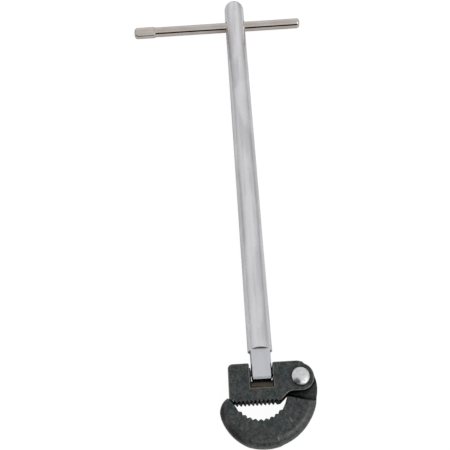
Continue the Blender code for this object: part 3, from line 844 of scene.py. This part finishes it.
def oxide_material(name, wear, scratched, darkest, shade_centres=(), nicks=()):
    """Black oxide over forged steel: clouded and mottled dark green-grey, rubbed bare on the edges.

    wear and scratched say how strongly the rubbed edges and the hairline scratches show.
    Crevices get black, glossless painted shade, and shade_centres are the middles of round patches of
    the same painted shade. nicks holds the face's deeper scratches, as HOOK_NICKS does.
    """
    mat, nodes, shader = new_material(name)
    bare = (0.27, 0.28, 0.27, 1)
    rubbed_bare = (0.32, 0.30, 0.275, 1)
    # the black of the painted shade
    shade_black = (0.003, 0.003, 0.003, 1)
    clouds = nodes.map(nodes.noise(7, 3, 0.6), 0.40, 0.60)
    base = nodes.mix(clouds, darkest, (0.031, 0.038, 0.034, 1))
    specks = nodes.map(nodes.noise(1.9, 5, 0.75), 0.43, 0.6)
    base = nodes.mix(nodes.math("MULTIPLY", specks, 0.75), base, (0.086, 0.094, 0.093, 1))
    pores = nodes.map(nodes.noise(1.3, 4, 0.7), 0.5, 0.6)
    base = nodes.mix(nodes.math("MULTIPLY", pores, 0.8), base, (0.002, 0.003, 0.003, 1))
    # hairline scratches: where a slow noise crosses its middle, in a few places only
    crossing = nodes.math("ABSOLUTE", nodes.math("SUBTRACT", nodes.slanted_noise(3, 7, -28), 0.5))
    scratch = nodes.math("MULTIPLY", nodes.map(crossing, 0.005, 0.016, 1.0, 0.0),
                         nodes.map(nodes.noise(4, 2), 0.55, 0.6))
    base = nodes.mix(nodes.math("MULTIPLY", scratch, scratched), base, bare)
    for x, y, degrees, half_length in nicks:
        nick = nodes.nick(DATUM + Vector((x, y, JAW_HALF)), degrees, half_length, NICK_HALF_WIDTH_MM)
        base = nodes.mix(nodes.math("MULTIPLY", nick, 0.8), base, bare)
    patchy = nodes.map(nodes.noise(1.6, 4, 0.6), 0.38, 0.58, 0.4, 1.0)
    rubbed = nodes.math("MULTIPLY", nodes.map(nodes.wear(), 0.15, 0.9), patchy)
    base = nodes.mix(nodes.math("MULTIPLY", rubbed, wear), base, rubbed_bare)
    # painted shade: black and glossless deep in crevices and recesses, such as under the ears
    shadow = nodes.crevice(5, 0.5, 0.96)
    # round patches of painted shade, black and glossless, on the hook's rim
    for centre in shade_centres:
        scale = nodes.near(DATUM + Vector(centre), SHADE_REACH_MM, SHADE_CORE_MM)
        shadow = nodes.math("MAXIMUM", shadow, nodes.math("MULTIPLY", scale, 0.7))
    base = nodes.mix(nodes.math("MULTIPLY", shadow, 0.9), base, shade_black)
    nodes.set(shader.inputs["Base Color"], base)
    # the painted shade in the crevices and in the round patches gets no gloss, which a black metal stands
    # for
    dull = nodes.math("MAXIMUM", nodes.math("MULTIPLY", rubbed, 0.5 * wear), shadow)
    nodes.set(shader.inputs["Metallic"], dull)
    shader.inputs["Specular IOR Level"].default_value = 0.62
    rough = nodes.map(nodes.noise(2.2, 4, 0.6), 0.35, 0.65, 0.26, 0.46)
    nodes.set(shader.inputs["Roughness"], rough)
    pits = nodes.bump(nodes.noise(0.5, 4, 0.6), 0.35, 0.06)
    nodes.set(shader.inputs["Normal"], nodes.bump(nodes.noise(3.0, 3), 0.25, 0.2, pits))
    return mat


def rivet_material():
    """Bright zinc on a cold-headed rivet, with hammered patches that went dull and a darker blotched patch
    low on its left.
    """
    mat, nodes, shader = new_material("bright_rivet_steel")
    patches = nodes.map(nodes.noise(1.6, 4, 0.6), 0.4, 0.62)
    base = nodes.mix(patches, grey(0.9), grey(0.76, (0.98, 0.99, 1.02)))
    # a darker, bluish, blotched patch low on the dome's left
    dark_patch_centre = Vector((PIVOT[0] - 1.9 * MM, PIVOT[1] - 2.7 * MM, JAW_HALF + 1 * MM))
    blotches = nodes.map(nodes.noise(0.9, 4, 0.6), 0.36, 0.54, 0.35, 1.0)
    dark_patch = nodes.math("MULTIPLY", nodes.near(DATUM + dark_patch_centre, 2.3, 1.0), blotches)
    nodes.set(shader.inputs["Base Color"], nodes.mix(dark_patch, base, grey(0.16, (0.9, 1.0, 1.15))))
    shader.inputs["Metallic"].default_value = 1.0
    nodes.set(shader.inputs["Roughness"], nodes.math("ADD", nodes.math("MULTIPLY", patches, 0.12), 0.34))
    nodes.set(shader.inputs["Normal"], nodes.bump(nodes.noise(0.8, 3), 0.3, 0.05))
    return mat


def pin_material():
    """Plain ground steel with its fine turning lines."""
    mat, nodes, shader = new_material("pin_steel")
    lines = nodes.noise(0.3, 3, 0.6, scale=(0.3, 1, 1))
    nodes.set(shader.inputs["Base Color"], nodes.mix(lines, grey(0.22), grey(0.4)))
    shader.inputs["Metallic"].default_value = 1.0
    nodes.set(shader.inputs["Roughness"], nodes.map(lines, 0.3, 0.7, 0.3, 0.45))
    nodes.set(shader.inputs["Normal"], nodes.bump(lines, 0.2, 0.02))
    return mat


def spring_material():
    """Oil-tempered spring steel: dark brown, with rolling streaks."""
    mat, nodes, shader = new_material("spring_steel")
    streaks = nodes.noise(0.45, 3, 0.6, scale=(0.08, 1, 0.5))
    base = nodes.mix(nodes.map(streaks, 0.3, 0.7), (0.03, 0.027, 0.018, 1), (0.11, 0.10, 0.07, 1))
    nodes.set(shader.inputs["Base Color"], base)
    shader.inputs["Metallic"].default_value = 0.7
    nodes.set(shader.inputs["Roughness"], nodes.map(streaks, 0.3, 0.7, 0.3, 0.5))
    nodes.set(shader.inputs["Normal"], nodes.bump(streaks, 0.3, 0.04))
    return mat


# ---------------------------------------------------------------- camera, light and floor

def add_camera():
    """A 50 mm lens 0.32 m above the jaws, looking up the wrench."""
    camera = bpy.data.cameras.new("camera")
    camera.lens = 50
    camera.sensor_width = 36
    camera.clip_start = 0.01
    obj = bpy.data.objects.new("camera", camera)
    bpy.context.scene.collection.objects.link(obj)
    place = DATUM + Vector((-0.01058, -0.08033, 0.31787))
    azimuth, elevation, roll = (math.radians(angle) for angle in (-1.351, 64.282, -4.741))
    aim = Matrix.Rotation(-azimuth, 4, "Z") @ Matrix.Rotation(math.radians(90) - elevation, 4, "X")
    obj.matrix_world = Matrix.Translation(place) @ aim @ Matrix.Rotation(roll, 4, "Z")
    bpy.context.scene.camera = obj


def add_floor():
    """A plain near-white floor, just clear of the jaws' backs. The camera sees it lit from within."""
    mesh = bpy.data.meshes.new("floor")
    half = 3.0
    below = -0.1 * MM
    corners = [(x, y, below) for x, y in ((-half, -half), (half, -half), (half, half), (-half, half))]
    mesh.from_pydata(corners, [], [(0, 1, 2, 3)])
    floor = bpy.data.objects.new("floor", mesh)
    bpy.context.scene.collection.objects.link(floor)
    mat, nodes, shader = new_material("floor")
    mat.node_tree.nodes.remove(shader)
    plain = nodes.add("ShaderNodeBsdfDiffuse", {"Color": grey(0.9)}).outputs[0]
    dim = nodes.add("ShaderNodeBsdfDiffuse", {"Color": grey(0.12)}).outputs[0]
    glow = nodes.add("ShaderNodeEmission", {"Color": grey(0.95)}).outputs[0]
    lit = nodes.add("ShaderNodeAddShader", {0: dim, 1: glow}).outputs[0]
    seen = nodes.add("ShaderNodeLightPath").outputs["Is Camera Ray"]
    surface = nodes.add("ShaderNodeMixShader", {0: seen, 1: plain, 2: lit}).outputs[0]
    nodes.set(mat.node_tree.nodes["Material Output"].inputs["Surface"], surface)
    mesh.materials.append(mat)


def add_world():
    """A pale studio by direction, with darker and brighter cards for the bright metal to mirror."""
    world = bpy.data.worlds.new("studio")
    bpy.context.scene.world = world
    world.use_nodes = True
    nodes = Nodes(world.node_tree)
    background = world.node_tree.nodes["Background"]
    direction = nodes.add("ShaderNodeTexCoord").outputs["Generated"]
    x, y, z = nodes.add("ShaderNodeSeparateXYZ", {0: direction}).outputs
    elevation = nodes.math("DEGREES", nodes.math("ARCSINE", z))
    azimuth = nodes.math("DEGREES", nodes.math("ARCTAN2", x, nodes.math("MULTIPLY", y, -1.0)))

    def window(value, low, high, fade):
        """1 between low and high, fading to 0 outside them."""
        rise = nodes.map(value, low - fade, low)
        fall = nodes.map(value, high, high + fade, 1.0, 0.0)
        return nodes.math("MULTIPLY", rise, fall)

    colour = nodes.mix(nodes.map(elevation, 5, 55), grey(0.54, (0.99, 1.0, 1.01)), grey(0.69))
    colour = nodes.mix(nodes.map(elevation, 58, 76), colour, grey(0.61))
    # Azimuth low, high, fade; elevation low, high, fade; strength; colour. A card that crosses
    # azimuth 180 is there twice, and azimuth 0 is towards -Y.
    cards = [
        (-55, 55, 20, -12, 14, 6, 0.6, grey(0.08)),
        (-16, 16, 9, -15, 31, 5, 1.0, grey(0.008, (1.5, 1.0, 0.7))),
        (158, 200, 12, 10, 36, 8, 1.0, grey(0.78)),
        (-200, -158, 12, 10, 36, 8, 1.0, grey(0.78)),
        (85, 200, 25, -10, 5, 5, 0.4, grey(0.12)),
        (-200, -85, 25, -10, 5, 5, 0.4, grey(0.12)),
        (-78, -35, 12, 30, 66, 8, 0.85, grey(0.06, (0.95, 1.0, 1.08))),
        (38, 72, 10, 28, 66, 8, 1.0, grey(1.9)),
    ]
    for az_low, az_high, az_fade, el_low, el_high, el_fade, strength, tone in cards:
        mask = nodes.math("MULTIPLY", window(azimuth, az_low, az_high, az_fade),
                          window(elevation, el_low, el_high, el_fade))
        colour = nodes.mix(nodes.math("MULTIPLY", mask, strength), colour, tone)

    seen = nodes.add("ShaderNodeLightPath").outputs["Is Camera Ray"]
    nodes.set(background.inputs["Color"], nodes.mix(seen, colour, grey(0.95)))
    background.inputs["Strength"].default_value = 1.0


def main():
    scene = bpy.context.scene
    scene.view_settings.view_transform = "Standard"
    add_camera()
    add_floor()
    add_world()
    make_shaft(zinc_material())
    make_t_bar(nickel_material())
    make_head_block(oxide_material("black_oxide_head", wear=0.9, scratched=0.2,
                                   darkest=(0.001, 0.018, 0.021, 1)))
    make_hook_jaw(oxide_material("black_oxide_hook", wear=0.14, scratched=0.4,
                                 darkest=(0.004, 0.014, 0.015, 1),
                                 shade_centres=HOOK_SHADE, nicks=HOOK_NICKS))
    make_rivet(rivet_material())
    make_pin(pin_material())
    spring = spring_material()
    make_leaf(spring)
    make_leaf_arm(spring)
    make_coil(spring)


main()
